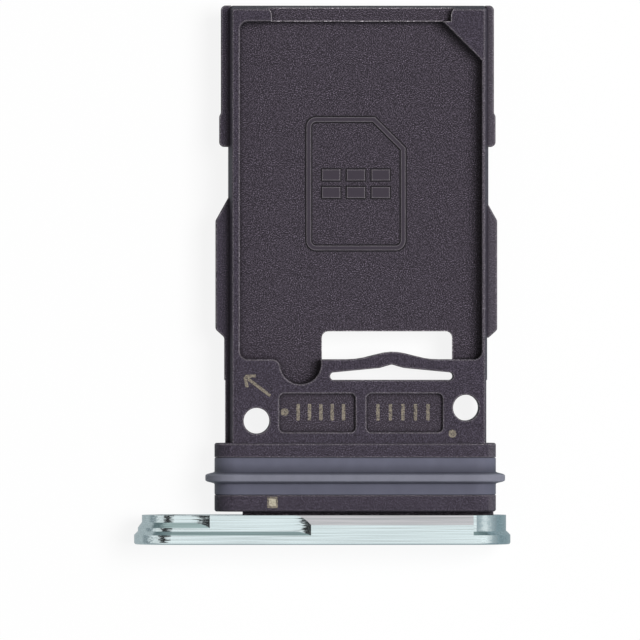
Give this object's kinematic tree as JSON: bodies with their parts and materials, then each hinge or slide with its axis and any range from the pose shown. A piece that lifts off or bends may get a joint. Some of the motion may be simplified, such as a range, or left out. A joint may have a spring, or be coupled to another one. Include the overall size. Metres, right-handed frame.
{
  "type": "sim card tray",
  "caption": "Phone SIM card tray: a moulded carrier with a card pocket, spring strip and side rails, a ring seal round its neck, and a pale metal cover plate with an eject-pin hole.",
  "frame": {"origin": "centre of the cover plate's outer face", "axes": "+Y is the way the tray slides into the phone, +X runs along the plate away from the eject hole, +Z is the side with the first card's pocket"},
  "size_m": [0.014, 0.0199, 0.0028],
  "materials": {
    "cover_plate": "fine bead-blasted face, anodised pale blue",
    "tray_body": "fine spark-eroded matte",
    "seal_ring": "satin silicone"
  },
  "bodies": {
    "root": {"cover_plate": "cover_plate", "tray_body": "tray_body", "seal_ring": "seal_ring"}
  },
  "joints": []
}
